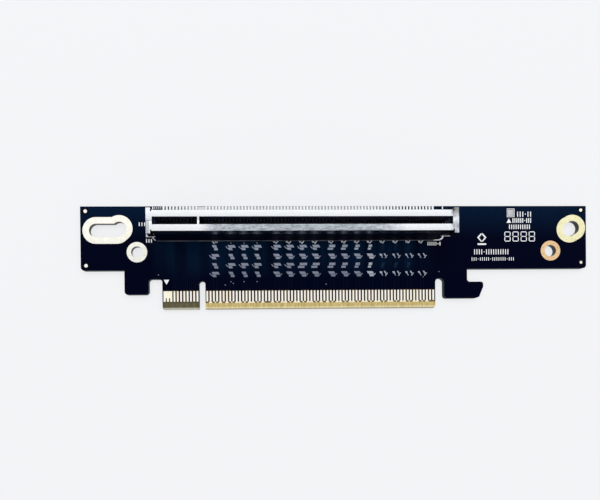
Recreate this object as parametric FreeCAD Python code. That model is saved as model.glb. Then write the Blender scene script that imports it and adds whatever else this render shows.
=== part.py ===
import FreeCAD, Part
import math
import os

# A riser card for a flat server: a black circuit board that plugs into a motherboard slot by its
# long row of edge fingers, and carries one card slot in a folded steel shell on its front face.
# The board lies flat. X runs along the card, Y from the finger edge to the top edge, Z up out of
# the front face. The origin is the middle of the card's outline, on its back face. Millimetres.

# ---- Board outline. Depths are measured down from the top edge ------------------------------
board_length = 156.8
board_height = 31.5
board_thickness = 1.57
band_height = 19.5
outer_corner_radius = 1.1
mask_thickness = 0.05

# ---- Contact grid shared by the edge fingers and the slot -------------------------------------
contact_pitch = 1.0
short_count = 11
long_count = 71
key_gap_pitches = 3
contact_1_from_left = 25.2

# ---- Finger tongue ------------------------------------------------------------------------------
tongue_side_margin = 0.65
tongue_corner_radius = 0.5
key_notch_width = 1.9
key_notch_top = 22.9
key_notch_end_flat = 0.02
bevel_angle = 20.0
bevel_length = 1.35
finger_top = 25.9
finger_length = 3.2
finger_width = 0.66
power_finger_count = 3
power_bar_length = 2.1
mask_edge_above_fingers = 0.25

# ---- Block and notch left of the tongue, notch and hook right of it ----------------------------
left_notch_width = 4.15
left_notch_top = 22.2
left_notch_radius = 1.0
left_block_width = 7.3
left_block_bottom = 26.9
block_corner_radius = 1.0
right_notch_width = 2.8
right_notch_top = 22.4
right_notch_radius = 1.2
hook_bottom = 28.6
hook_neck_width = 7.25
hook_reach = 5.1
hook_top = 23.5
hook_tip_radius = 0.8
hook_inner_radius = 0.9
hook_toe_length = 2.4
hook_toe_height = 3.6
hook_step_length = 1.1
hook_step_height = 0.4

# ---- Plated mounting holes ------------------------------------------------------------------------
plating_wall = 0.12
ring_thickness = 0.05
small_hole_radius = 1.8
small_ring_radius = 3.1
small_hole_depth = 13.95
left_small_hole_from_contact_1 = -8.2
right_small_hole_from_end = 11.4
keyhole_radius = 2.1
keyhole_start_from_contact_1 = -20.5
keyhole_run = 6.3
keyhole_depth = 7.31
keyhole_step_along = 0.7
keyhole_step_up = 0.6
keyhole_ring_margin = 1.95
right_big_hole_radius = 2.15
right_big_hole_from_end = 5.34
right_big_hole_depth = 7.37
right_big_hole_step_along = 0.99
right_big_hole_step_up = 0.56
right_big_ring_margin = 1.9

# ---- Card slot ---------------------------------------------------------------------------------------
slot_depth_from_top = 7.8
slot_height = 11.25
slot_end_margin = 1.0
card_gap = 1.85
card_insertion = 8.2
key_rib_width = 1.7
mouth_gap = 2.2
mouth_lead_depth = 0.55
shell_sheet = 0.2
body_width = 5.4
end_wall = 1.5
nose_wall = 0.7
nose_width = 3.6
shoulder_inset = 0.5
collar_height = 3.2
ear_width = 6.8
ear_length = 1.03
underside_gap = 0.3
tail_gallery_height = 1.1
peg_radius = 1.15
peg_clearance = 0.06
peg_length = 1.4
far_peg_pitches = 76.5

# ---- Contact chambers and contacts ---------------------------------------------------------------
chamber_width = 0.6
chamber_outer = 1.95
chamber_roof = 1.0
trough_top = 5.0
contact_width = 0.44
contact_sheet = 0.18
contact_root = 1.6
contact_tip_gap = 0.9
contact_point_depth = 3.1
contact_tip_depth = 1.9
contact_tip_set_back = 0.4
tail_height = 0.95
tail_foot_start = 6.3
tail_edge_clearance = 0.15
inner_foot_reach = 2.45

# ---- Solder lands ----------------------------------------------------------------------------------
land_thickness = 0.05
land_width = 0.62
land_margin = 0.1
land_edge_clearance = 0.05

# ---- Steel shell over the slot -----------------------------------------------------------------------
shell_leg_width = 2.8
shell_foot_length = 2.55
shell_foot_land_margin = 0.15
shell_bridge_width = 0.55
shell_bridge_from_key = 0.375
corner_relief = 0.35
seam_gap = 0.1

# ---- Worked out from the above ---------------------------------------------------------------------
front_face = board_thickness
first_long = short_count - 1 + key_gap_pitches
grid_places = list(range(short_count)) + [first_long + i for i in range(long_count)]
contact_places = [place * contact_pitch for place in grid_places]
last_contact = contact_places[-1]
key_middle = (contact_places[short_count - 1] + contact_places[short_count]) / 2
tongue_left = -tongue_side_margin
tongue_right = last_contact + tongue_side_margin
left_block_right = tongue_left - left_notch_width
left_block_left = left_block_right - left_block_width
hook_left = tongue_right + right_notch_width
hook_neck = hook_left + hook_neck_width
hook_right = hook_neck + hook_reach
board_left = -contact_1_from_left
board_right = board_length - contact_1_from_left
right_small_hole_place = board_right - right_small_hole_from_end

cavity_left = -slot_end_margin
cavity_right = last_contact + slot_end_margin
body_left = cavity_left - end_wall
body_right = cavity_right + end_wall
body_top = slot_height - shell_sheet
cavity_floor = slot_height - card_insertion
collar_bottom = body_top - collar_height
shell_half_width = body_width / 2 + shell_sheet


def along(place):
    """X of a place measured along the card from the middle of contact 1."""
    return contact_1_from_left + place - board_length / 2


def down(depth):
    """Y of a place measured down from the card's top edge."""
    return board_height / 2 - depth


def beside_slot(offset):
    """Y of a place measured from the slot's middle line, towards the top edge."""
    return down(slot_depth_from_top) + offset


def above_board(height):
    """Z of a place measured up from the board's front face."""
    return front_face + height


def slab(x_range, y_range, z_range):
    """Box between two values on each axis."""
    x_low, x_high = sorted(x_range)
    y_low, y_high = sorted(y_range)
    z_low, z_high = sorted(z_range)
    corner = FreeCAD.Vector(x_low, y_low, z_low)
    return Part.makeBox(x_high - x_low, y_high - y_low, z_high - z_low, corner)


def slot_slab(places, offsets, heights):
    """Box given by places along the card, offsets from the slot's middle and heights above the board."""
    x_range = [along(place) for place in places]
    y_range = [beside_slot(offset) for offset in offsets]
    z_range = [above_board(height) for height in heights]
    return slab(x_range, y_range, z_range)


def upright_cylinder(x, y, radius, z_range):
    """Cylinder along Z between two levels."""
    z_low, z_high = sorted(z_range)
    return Part.makeCylinder(radius, z_high - z_low, FreeCAD.Vector(x, y, z_low))


def rounded_face(corners):
    """Flat face through corners (x, y, radius), each rounded to its radius or left sharp at zero."""
    starts = []
    finishes = []
    arcs = []
    points = [FreeCAD.Vector(x, y, 0) for x, y, radius in corners]
    count = len(points)
    for i in range(count):
        here = points[i]
        radius = corners[i][2]
        to_before = (points[i - 1] - here).normalize()
        to_after = (points[(i + 1) % count] - here).normalize()
        if radius == 0:
            starts.append(here)
            finishes.append(here)
            arcs.append(None)
            continue
        half_turn = to_before.getAngle(to_after) / 2
        trim = radius / math.tan(half_turn)
        bisector = (to_before + to_after).normalize()
        start = here + to_before * trim
        middle = here + bisector * (radius / math.sin(half_turn) - radius)
        finish = here + to_after * trim
        starts.append(start)
        finishes.append(finish)
        arcs.append(Part.Arc(start, middle, finish).toShape())
    edges = []
    for i in range(count):
        if arcs[i] is not None:
            edges.append(arcs[i])
        next_start = starts[(i + 1) % count]
        if finishes[i].distanceToPoint(next_start) > 1e-6:
            edges.append(Part.LineSegment(finishes[i], next_start).toShape())
    return Part.Face(Part.Wire(edges))


def upright_prism(face, z_range):
    """Face in the XY plane raised to a solid between two levels."""
    z_low, z_high = sorted(z_range)
    placed = face.translated(FreeCAD.Vector(0, 0, z_low))
    return placed.extrude(FreeCAD.Vector(0, 0, z_high - z_low))


def strip_profile(points, thickness):
    """Outline of a bent strip: cut square where it starts, coined to an edge at its tip."""
    half = thickness / 2
    left = []
    right = []
    for i in range(len(points) - 1):
        here = points[i]
        go = (points[i + 1] - here).normalize()
        come = (here - points[i - 1]).normalize() if i > 0 else go
        side = FreeCAD.Vector(0, -(come.z + go.z), come.y + go.y).normalize()
        come_side = FreeCAD.Vector(0, -come.z, come.y)
        reach = half / side.dot(come_side)
        left.append(here + side * reach)
        right.append(here - side * reach)
    return left + [points[-1]] + right[::-1]


def bent_strip(points, thickness, width, x_middle):
    """Strip of sheet bent in a plane across the slot, centred on an X place."""
    outline = strip_profile(points, thickness)
    low = x_middle - width / 2
    placed = [FreeCAD.Vector(low, point.y, point.z) for point in outline]
    face = Part.Face(Part.makePolygon(placed + placed[:1]))
    return face.extrude(FreeCAD.Vector(width, 0, 0))


def card_outline():
    """Card outline with its block, finger tongue, key notch and hook."""
    key_left = key_middle - key_notch_width / 2
    key_right = key_middle + key_notch_width / 2
    key_end_radius = (key_notch_width - key_notch_end_flat) / 2
    step_place = hook_right - hook_toe_length
    toe_place = step_place + hook_step_length
    corners = [
        (board_left, 0, 0),
        (board_right, 0, 0),
        (board_right, band_height, outer_corner_radius),
        (hook_neck, band_height, 0),
        (hook_neck, hook_top, hook_inner_radius),
        (hook_right, hook_top, hook_tip_radius),
        (hook_right, hook_bottom - hook_toe_height, 0),
        (toe_place, hook_bottom - hook_step_height, 0),
        (step_place, hook_bottom, 0),
        (hook_left, hook_bottom, block_corner_radius),
        (hook_left, right_notch_top, right_notch_radius),
        (tongue_right, right_notch_top, right_notch_radius),
        (tongue_right, board_height, tongue_corner_radius),
        (key_right, board_height, 0),
        (key_right, key_notch_top, key_end_radius),
        (key_left, key_notch_top, key_end_radius),
        (key_left, board_height, 0),
        (tongue_left, board_height, tongue_corner_radius),
        (tongue_left, left_notch_top, left_notch_radius),
        (left_block_right, left_notch_top, left_notch_radius),
        (left_block_right, left_block_bottom, block_corner_radius),
        (left_block_left, left_block_bottom, block_corner_radius),
        (left_block_left, band_height, 0),
        (board_left, band_height, outer_corner_radius),
    ]
    return [(along(place), down(depth), radius) for place, depth, radius in corners]


def finger_bevels():
    """Wedges that thin both faces of the tongue towards its edge."""
    drop = bevel_length * math.tan(math.radians(bevel_angle))
    start = down(board_height - bevel_length)
    edge = down(board_height)
    wedges = []
    for face_level, inwards in ((0, 1), (board_thickness, -1)):
        profile = [
            FreeCAD.Vector(along(tongue_left), start, face_level),
            FreeCAD.Vector(along(tongue_left), edge, face_level + inwards * drop),
            FreeCAD.Vector(along(tongue_left), edge, face_level),
        ]
        wedge_face = Part.Face(Part.makePolygon(profile + profile[:1]))
        wedges.append(wedge_face.extrude(FreeCAD.Vector(tongue_right - tongue_left, 0, 0)))
    return wedges


def keyhole_solid(radius, z_range):
    """Long hole that widens into a round seat at its inner end."""
    start = along(keyhole_start_from_contact_1)
    end = start + keyhole_run
    y = down(keyhole_depth)
    channel = slab((start, end), (y - radius, y + radius), z_range)
    start_round = upright_cylinder(start, y, radius, z_range)
    end_round = upright_cylinder(end, y, radius, z_range)
    seat_x = end + keyhole_step_along
    seat = upright_cylinder(seat_x, y + keyhole_step_up, radius, z_range)
    return channel.fuse([start_round, end_round, seat]).removeSplitter()


def right_big_hole_solid(radius, z_range):
    """Hole drilled twice, a little apart, so that it is wider along one slant."""
    x = along(board_right - right_big_hole_from_end)
    y = down(right_big_hole_depth)
    first = upright_cylinder(x, y, radius, z_range)
    moved_x = x + right_big_hole_step_along
    moved_y = y + right_big_hole_step_up
    second = upright_cylinder(moved_x, moved_y, radius, z_range)
    return first.fuse(second).removeSplitter()


def small_hole_solid(place, radius, z_range):
    """Plain round hole of the screw pair."""
    return upright_cylinder(along(place), down(small_hole_depth), radius, z_range)


def plated_hole(hole_at, hole_radius, ring_radius):
    """Barrel through the board with its wide ring on the front face."""
    barrel = hole_at(hole_radius + plating_wall, (0, board_thickness))
    ring = hole_at(ring_radius, (board_thickness, board_thickness + ring_thickness))
    bore = hole_at(hole_radius, (0, board_thickness + ring_thickness))
    return barrel.fuse(ring).cut(bore).removeSplitter()


def left_small_hole(radius, z_range):
    return small_hole_solid(left_small_hole_from_contact_1, radius, z_range)


def right_small_hole(radius, z_range):
    return small_hole_solid(right_small_hole_place, radius, z_range)


plated_holes = {
    "left_keyhole_plating": (keyhole_solid, keyhole_radius, keyhole_radius + keyhole_ring_margin),
    "left_hole_plating": (left_small_hole, small_hole_radius, small_ring_radius),
    "right_big_hole_plating": (
        right_big_hole_solid,
        right_big_hole_radius,
        right_big_hole_radius + right_big_ring_margin,
    ),
    "right_hole_plating": (right_small_hole, small_hole_radius, small_ring_radius),
}


def peg_places():
    """Where the slot's two round pegs stand, along the card."""
    return [key_middle, far_peg_pitches * contact_pitch]


def printed_board():
    """Laminate with its mask: outline, bevel, bare finger band, plated bores and peg holes."""
    board = upright_prism(rounded_face(card_outline()), (0, board_thickness))
    band_top = finger_top - mask_edge_above_fingers
    x_range = (along(tongue_left), along(tongue_right))
    y_range = (down(band_top), down(board_height))
    cuts = finger_bevels()
    cuts.append(slab(x_range, y_range, (0, mask_thickness)))
    cuts.append(slab(x_range, y_range, (board_thickness - mask_thickness, board_thickness)))
    for hole_at, hole_radius, _ in plated_holes.values():
        cuts.append(hole_at(hole_radius + plating_wall, (0, board_thickness)))
    for place in peg_places():
        radius = peg_radius + peg_clearance
        cuts.append(upright_cylinder(along(place), beside_slot(0), radius, (0, board_thickness)))
    return board.cut(cuts).removeSplitter()


def finger_row(z_range):
    """One flat edge finger for every contact place, flush with the mask."""
    half = finger_width / 2
    y_range = (down(finger_top), down(finger_top + finger_length))
    fingers = []
    for place in contact_places:
        fingers.append(slab((along(place - half), along(place + half)), y_range, z_range))
    return fingers


def front_fingers():
    """Front fingers, the first three of them joined by a bar."""
    levels = (board_thickness - mask_thickness, board_thickness)
    fingers = finger_row(levels)
    joined = fingers[:power_finger_count]
    half = finger_width / 2
    bar_x = (along(contact_places[0] - half), along(contact_places[power_finger_count - 1] + half))
    bar = slab(bar_x, (down(finger_top), down(finger_top + power_bar_length)), levels)
    power_pad = bar.fuse(joined).removeSplitter()
    return power_pad, fingers[power_finger_count:short_count], fingers[short_count:]


def back_fingers():
    """Back fingers, all alike."""
    fingers = finger_row((0, mask_thickness))
    return fingers[:short_count], fingers[short_count:]


def housing_body():
    """Outer block of the slot: long body, narrow noses, full collar and ears under the shell."""
    half = body_width / 2
    shoulders = (cavity_left + shoulder_inset, cavity_right - shoulder_inset)
    body = slot_slab(shoulders, (-half, half), (underside_gap, body_top))
    nose_ends = (cavity_left - nose_wall, cavity_right + nose_wall)
    nose_half = nose_width / 2
    nose = slot_slab(nose_ends, (-nose_half, nose_half), (underside_gap, body_top))
    collar = slot_slab((body_left, body_right), (-half, half), (collar_bottom, body_top))
    pieces = [nose, collar]
    ear_half = ear_width / 2
    ear_spans = ((body_left, body_left + ear_length), (body_right - ear_length, body_right))
    for span in ear_spans:
        pieces.append(slot_slab(span, (-ear_half, ear_half), (collar_bottom, body_top)))
    for place in peg_places():
        levels = (above_board(-peg_length), above_board(underside_gap))
        pieces.append(upright_cylinder(along(place), beside_slot(0), peg_radius, levels))
    stand_half = peg_radius
    stand_spans = ((nose_ends[0], cavity_left), (cavity_right, nose_ends[1]))
    for span in stand_spans:
        pieces.append(slot_slab(span, (-stand_half, stand_half), (0, underside_gap)))
    return body.fuse(pieces).removeSplitter()


def mouth_lead_in(left, right):
    """Tapered entry that widens one part of the card gap towards the mouth."""
    low = body_top - mouth_lead_depth
    profile = [
        (-card_gap / 2, low),
        (card_gap / 2, low),
        (mouth_gap / 2, body_top),
        (-mouth_gap / 2, body_top),
    ]
    points = [
        FreeCAD.Vector(along(left), beside_slot(offset), above_board(height))
        for offset, height in profile
    ]
    face = Part.Face(Part.makePolygon(points + points[:1]))
    return face.extrude(FreeCAD.Vector(right - left, 0, 0))


def slot_housing():
    """Moulded slot: a card gap each side of the key rib, and a chamber for every contact.

    The chambers of each row stand over one trough beside the floor of the card gap, where the
    contacts go in from the underside, and the upper row's trough has a gallery for its tails.
    """
    rib_left = key_middle - key_rib_width / 2
    rib_right = key_middle + key_rib_width / 2
    cuts = []
    for left, right in ((cavity_left, rib_left), (rib_right, cavity_right)):
        gap_half = card_gap / 2
        cuts.append(slot_slab((left, right), (-gap_half, gap_half), (cavity_floor, body_top)))
        cuts.append(mouth_lead_in(left, right))
    chamber_top = body_top - chamber_roof
    row = (contact_places[0] - chamber_width / 2, last_contact + chamber_width / 2)
    for side in (-1, 1):
        offsets = (side * card_gap / 2, side * chamber_outer)
        cuts.append(slot_slab(row, offsets, (underside_gap, trough_top)))
        for place in contact_places:
            span = (place - chamber_width / 2, place + chamber_width / 2)
            cuts.append(slot_slab(span, offsets, (trough_top, chamber_top)))
    gallery_top = underside_gap + tail_gallery_height
    cuts.append(slot_slab(row, (card_gap / 2, body_width / 2), (underside_gap, gallery_top)))
    return housing_body().cut(cuts).removeSplitter()


def contact_line(offsets_and_heights, side):
    """Middle line of a contact, mirrored to its side of the slot."""
    return [
        FreeCAD.Vector(0, beside_slot(side * offset), above_board(height))
        for offset, height in offsets_and_heights
    ]


def sprung_end():
    """Upper end of each contact: it leans in to the card and its tip turns back."""
    point_offset = contact_tip_gap / 2 + contact_sheet / 2
    point_height = slot_height - contact_point_depth
    tip_height = slot_height - contact_tip_depth
    return [(point_offset, point_height), (point_offset + contact_tip_set_back, tip_height)]


def upper_contacts():
    """Contacts nearer the top edge: their tails run out to lands along the board's edge."""
    foot_level = land_thickness + contact_sheet / 2
    tail_end = slot_depth_from_top - tail_edge_clearance
    path = [(tail_end, foot_level), (tail_foot_start, foot_level), (contact_root, tail_height)]
    path.extend(sprung_end())
    line = contact_line(path, 1)
    return [bent_strip(line, contact_sheet, contact_width, along(place)) for place in contact_places]


def lower_contacts():
    """Contacts nearer the fingers: their feet are turned out under the housing's wall."""
    foot_level = contact_sheet / 2
    path = [(inner_foot_reach, foot_level), (contact_root, foot_level)]
    path.extend(sprung_end())
    line = contact_line(path, -1)
    return [bent_strip(line, contact_sheet, contact_width, along(place)) for place in contact_places]


def upper_lands():
    """Row of solder lands along the board's edge, one under each tail."""
    half = land_width / 2
    offsets = (tail_foot_start - land_margin, slot_depth_from_top - land_edge_clearance)
    lands = []
    for place in contact_places:
        lands.append(slot_slab((place - half, place + half), offsets, (0, land_thickness)))
    return lands


def shell_foot_spans():
    """Where the shell's two feet lie along the card, from the end wall outwards."""
    left_wall = body_left - shell_sheet
    right_wall = body_right + shell_sheet
    return ((left_wall - shell_foot_length, left_wall), (right_wall, right_wall + shell_foot_length))


def shell_foot_lands():
    """Solder lands under the shell's feet."""
    half = shell_leg_width / 2 + shell_foot_land_margin
    margin = shell_foot_land_margin
    lands = []
    for start, end in shell_foot_spans():
        span = (start - margin, end + margin)
        lands.append(slot_slab(span, (-half, half), (0, land_thickness)))
    return lands


def shell_top():
    """Flat frame round the mouth, wider at its two ears, with a window for each card gap."""
    outer_left = body_left - shell_sheet
    outer_right = body_right + shell_sheet
    levels = (body_top, slot_height)
    frame = slot_slab((outer_left, outer_right), (-shell_half_width, shell_half_width), levels)
    ear_half = ear_width / 2 + shell_sheet
    ear_spans = ((outer_left, body_left + ear_length), (body_right - ear_length, outer_right))
    ears = [slot_slab(span, (-ear_half, ear_half), levels) for span in ear_spans]
    bridge_middle = key_middle + shell_bridge_from_key
    bridge_left = bridge_middle - shell_bridge_width / 2
    bridge_right = bridge_middle + shell_bridge_width / 2
    cuts = []
    for left, right in ((cavity_left, bridge_left), (bridge_right, cavity_right)):
        cuts.append(slot_slab((left, right), (-mouth_gap / 2, mouth_gap / 2), levels))
    relief_spans = (
        (body_left + ear_length, body_left + ear_length + corner_relief),
        (body_right - ear_length - corner_relief, body_right - ear_length),
    )
    for span in relief_spans:
        for side in (-1, 1):
            offsets = (side * (shell_half_width - corner_relief), side * ear_half)
            cuts.append(slot_slab(span, offsets, levels))
    return frame.fuse(ears).cut(cuts)


def slot_shell():
    """Steel shell folded from one sheet: mouth frame, side skirts, ear flaps, end legs and feet."""
    half = body_width / 2
    ear_half = ear_width / 2
    skirt_left = body_left + ear_length + corner_relief
    skirt_right = body_right - ear_length - corner_relief
    pieces = []
    for side in (-1, 1):
        skirt_offsets = (side * half, side * shell_half_width)
        pieces.append(slot_slab((skirt_left, skirt_right), skirt_offsets, (collar_bottom, slot_height)))
        flap_offsets = (side * ear_half, side * (ear_half + shell_sheet))
        for span in ((body_left, body_left + ear_length), (body_right - ear_length, body_right)):
            pieces.append(slot_slab(span, flap_offsets, (collar_bottom, slot_height)))
    leg_half = shell_leg_width / 2
    foot_levels = (land_thickness, land_thickness + shell_sheet)
    walls = ((body_left - shell_sheet, body_left), (body_right, body_right + shell_sheet))
    for wall, foot in zip(walls, shell_foot_spans()):
        wall_half = ear_half + shell_sheet
        pieces.append(slot_slab(wall, (-wall_half, wall_half), (collar_bottom, slot_height)))
        pieces.append(slot_slab(wall, (-leg_half, leg_half), (land_thickness, slot_height)))
        pieces.append(slot_slab(foot, (-leg_half, leg_half), foot_levels))
    shell = shell_top().fuse(pieces)
    seam_start = body_left - shell_sheet - shell_foot_length
    seam = slot_slab((seam_start, cavity_left), (-seam_gap / 2, seam_gap / 2), (0, slot_height))
    return shell.cut(seam).removeSplitter()


def save(name, solids):
    """Write one piece, or a group of like pieces, as a STEP file."""
    shape = solids[0] if len(solids) == 1 else Part.makeCompound(solids)
    shape.exportStep("parts/" + name + ".step")
    volume = sum(solid.Volume for solid in shape.Solids)
    print(name, len(shape.Solids), "solids", round(volume, 2), "mm3", shape.isValid())


def main():
    os.makedirs("parts", exist_ok=True)
    save("pcb", [printed_board()])
    save("slot_housing", [slot_housing()])
    save("slot_shell", [slot_shell()])
    upper = upper_contacts()
    save("upper_contacts_short_side", upper[:short_count])
    save("upper_contacts_long_side", upper[short_count:])
    lower = lower_contacts()
    save("lower_contacts_short_side", lower[:short_count])
    save("lower_contacts_long_side", lower[short_count:])
    lands = upper_lands()
    save("upper_lands_short_side", lands[:short_count])
    save("upper_lands_long_side", lands[short_count:])
    left_land, right_land = shell_foot_lands()
    save("left_shell_foot_land", [left_land])
    save("right_shell_foot_land", [right_land])
    power_pad, short_side, long_side = front_fingers()
    save("front_power_finger", [power_pad])
    save("front_fingers_short_side", short_side)
    save("front_fingers_long_side", long_side)
    short_side, long_side = back_fingers()
    save("back_fingers_short_side", short_side)
    save("back_fingers_long_side", long_side)
    for name, (hole_at, hole_radius, ring_radius) in plated_holes.items():
        save(name, [plated_hole(hole_at, hole_radius, ring_radius)])


main()
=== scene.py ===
import math

import bpy
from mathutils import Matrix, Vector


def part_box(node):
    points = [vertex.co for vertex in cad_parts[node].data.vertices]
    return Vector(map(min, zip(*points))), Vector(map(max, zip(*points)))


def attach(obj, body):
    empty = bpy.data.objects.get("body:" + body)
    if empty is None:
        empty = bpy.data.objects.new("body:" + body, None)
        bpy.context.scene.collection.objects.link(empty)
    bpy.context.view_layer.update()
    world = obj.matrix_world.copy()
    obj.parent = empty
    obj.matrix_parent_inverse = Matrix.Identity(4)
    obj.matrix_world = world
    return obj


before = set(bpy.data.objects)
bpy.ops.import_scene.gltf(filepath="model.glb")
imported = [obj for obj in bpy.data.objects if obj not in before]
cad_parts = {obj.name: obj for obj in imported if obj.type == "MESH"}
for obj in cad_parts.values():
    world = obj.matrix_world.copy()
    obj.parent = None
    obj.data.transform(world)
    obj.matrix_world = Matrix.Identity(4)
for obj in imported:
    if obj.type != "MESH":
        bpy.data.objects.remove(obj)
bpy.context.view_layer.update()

# ---- Printed board -------------------------------------------------------------------------------
# A 1.57 mm glass-epoxy laminate, routed to its outline with a hook, notches and a bevelled
# finger edge, then coated on both faces with near-black blue solder mask. The mask stops just
# above the fingers, where the brown laminate lies bare.
MM = 0.001
board_low, board_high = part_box("pcb")
finger_low, finger_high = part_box("front_fingers_long_side")
finger_tab_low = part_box("front_power_finger")[0]
LONG_COUNT = 71
PITCH = 1.0 * MM
FINGER_WIDTH = (finger_high.x - finger_low.x) - (LONG_COUNT - 1) * PITCH
contact_1_x = finger_tab_low.x + FINGER_WIDTH / 2
KEY_MIDDLE = 11.5
LAST_PLACE = 83.0
TONGUE_MARGIN = 0.8
ROW_MARGIN = 0.6
LANES_LAST_PLACE = 80.0
LANES_SIDE_FADE = 9 * MM
LANES_LOWER_DEPTH = 17.5
LANES_LOWER_FADE = 10 * MM
TOP_SHEEN_DEPTHS = (10.0, 1.5)
TAIL_STRIP_DEPTH = 1.6
STRIP_EDGE_SHADE_DEPTH = 0.16
KEY_GAP = (10.4, 12.6)
MASK_END = 0.21 * MM
FINGER_ZONE_END = 0.06 * MM
STUB_ZONE_END = 0.5 * MM
LEFT_BEVEL_DEPTH = 30.95
RIGHT_BEVEL_DEPTH = 30.75
RIGHT_LIP_DEPTH = 31.25
SHARP = 0.05 * MM
BIG_RING_RADIUS = 4.05
SMALL_RING_RADIUS = 3.1
MASK_DEEP = (0.0003, 0.0012, 0.0098)
MASK_TEAL = (0.0018, 0.0128, 0.0390)
BACK_RINGS = [
    ("left_keyhole_plating", BIG_RING_RADIUS),
    ("left_hole_plating", SMALL_RING_RADIUS),
    ("right_big_hole_plating", BIG_RING_RADIUS),
    ("right_hole_plating", SMALL_RING_RADIUS),
]


def place_x(place):
    """X of a place in millimetres along the card from the middle of contact 1."""
    return contact_1_x + place * MM


def depth_y(depth):
    """Y of a depth in millimetres below the card's top edge."""
    return board_high.y - depth * MM


def new_material(name, color, roughness, metallic=0.0, specular=0.5):
    """Material with one Principled shader; returns it with its node tree and its shader."""
    material = bpy.data.materials.new(name)
    material.use_nodes = True
    shader = material.node_tree.nodes["Principled BSDF"]
    shader.inputs["Base Color"].default_value = (*color, 1.0)
    shader.inputs["Roughness"].default_value = roughness
    shader.inputs["Metallic"].default_value = metallic
    shader.inputs["Specular IOR Level"].default_value = specular
    return material, material.node_tree, shader


def plug(tree, value, socket):
    """Sets a socket to a number or colour, or links another socket to it."""
    if isinstance(value, bpy.types.NodeSocket):
        tree.links.new(value, socket)
    elif isinstance(value, tuple):
        socket.default_value = (*value, 1.0)
    else:
        socket.default_value = value


def calc(tree, operation, first, second=0.0):
    """One step of arithmetic on two values."""
    node = tree.nodes.new("ShaderNodeMath")
    node.operation = operation
    plug(tree, first, node.inputs[0])
    plug(tree, second, node.inputs[1])
    return node.outputs["Value"]


def split_coords(tree, output):
    """X, Y and Z sockets of one kind of texture coordinate."""
    coords = tree.nodes.new("ShaderNodeTexCoord")
    split = tree.nodes.new("ShaderNodeSeparateXYZ")
    tree.links.new(coords.outputs[output], split.inputs["Vector"])
    return split.outputs["X"], split.outputs["Y"], split.outputs["Z"]


def mapped(tree, value, low, high, start=0.0, finish=1.0):
    """Value carried from low..high to start..finish, and held beyond both."""
    node = tree.nodes.new("ShaderNodeMapRange")
    node.inputs["From Min"].default_value = low
    node.inputs["From Max"].default_value = high
    node.inputs["To Min"].default_value = start
    node.inputs["To Max"].default_value = finish
    tree.links.new(value, node.inputs["Value"])
    return node.outputs["Result"]


def above(tree, value, edge, softness):
    """0 below an edge and 1 above it."""
    return mapped(tree, value, edge - softness / 2, edge + softness / 2)


def within(tree, value, low, high, softness):
    """1 between two edges and 0 outside them."""
    upper = mapped(tree, value, high - softness / 2, high + softness / 2, 1.0, 0.0)
    return calc(tree, "MULTIPLY", above(tree, value, low, softness), upper)


def noise(tree, scales, detail=3.0, rough=0.55):
    """Noise over the object, with a frequency per metre for each axis."""
    coords = tree.nodes.new("ShaderNodeTexCoord")
    mapping = tree.nodes.new("ShaderNodeMapping")
    mapping.inputs["Scale"].default_value = scales
    tree.links.new(coords.outputs["Object"], mapping.inputs["Vector"])
    texture = tree.nodes.new("ShaderNodeTexNoise")
    texture.inputs["Scale"].default_value = 1.0
    texture.inputs["Detail"].default_value = detail
    texture.inputs["Roughness"].default_value = rough
    tree.links.new(mapping.outputs["Vector"], texture.inputs["Vector"])
    return texture.outputs["Fac"]


def step_noise(tree, number):
    """One even random value for each whole number."""
    texture = tree.nodes.new("ShaderNodeTexWhiteNoise")
    texture.noise_dimensions = "1D"
    tree.links.new(number, texture.inputs["W"])
    return texture.outputs["Value"]


def ramp(tree, factor, stops):
    """Colour ramp through stops of (position, colour)."""
    node = tree.nodes.new("ShaderNodeValToRGB")
    elements = node.color_ramp.elements
    elements[0].position = stops[0][0]
    elements[0].color = (*stops[0][1], 1.0)
    elements[1].position = stops[-1][0]
    elements[1].color = (*stops[-1][1], 1.0)
    for position, color in stops[1:-1]:
        element = elements.new(position)
        element.color = (*color, 1.0)
    tree.links.new(factor, node.inputs["Fac"])
    return node.outputs["Color"]


def blend(tree, factor, first, second, kind="MIX"):
    """Mix of two colours, each a socket or a plain colour."""
    node = tree.nodes.new("ShaderNodeMix")
    node.data_type = "RGBA"
    node.blend_type = kind
    plug(tree, factor, node.inputs["Factor"])
    plug(tree, first, next(s for s in node.inputs if s.name == "A" and s.type == "RGBA"))
    plug(tree, second, next(s for s in node.inputs if s.name == "B" and s.type == "RGBA"))
    return next(s for s in node.outputs if s.type == "RGBA")


def add_bump(tree, shader, height, distance, strength=1.0):
    """Bump of a real height on a shader."""
    node = tree.nodes.new("ShaderNodeBump")
    node.inputs["Strength"].default_value = strength
    node.inputs["Distance"].default_value = distance
    tree.links.new(height, node.inputs["Height"])
    tree.links.new(node.outputs["Normal"], shader.inputs["Normal"])


def even(frequency):
    """The same frequency along every axis."""
    return (frequency, frequency, frequency)


def finish_node(name, material):
    """Gives a CAD node its material."""
    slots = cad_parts[name].data.materials
    slots.clear()
    slots.append(material)


def ring_spot(tree, x, y, name, radius):
    """1 inside the ring round a plated hole, whose long side runs along the card."""
    low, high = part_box(name)
    middle_x = (low.x + high.x) / 2
    middle_y = (low.y + high.y) / 2
    run = (high.x - low.x) / 2 - radius * MM
    off_x = calc(tree, "ABSOLUTE", calc(tree, "SUBTRACT", x, middle_x))
    past_x = calc(tree, "MAXIMUM", calc(tree, "SUBTRACT", off_x, max(run, 0.0)), 0.0)
    off_y = calc(tree, "SUBTRACT", y, middle_y)
    squares = calc(tree, "ADD", calc(tree, "POWER", past_x, 2.0), calc(tree, "MULTIPLY", off_y, off_y))
    edge = radius * MM
    return mapped(tree, calc(tree, "SQRT", squares), edge, edge + SHARP, 1.0, 0.0)


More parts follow.
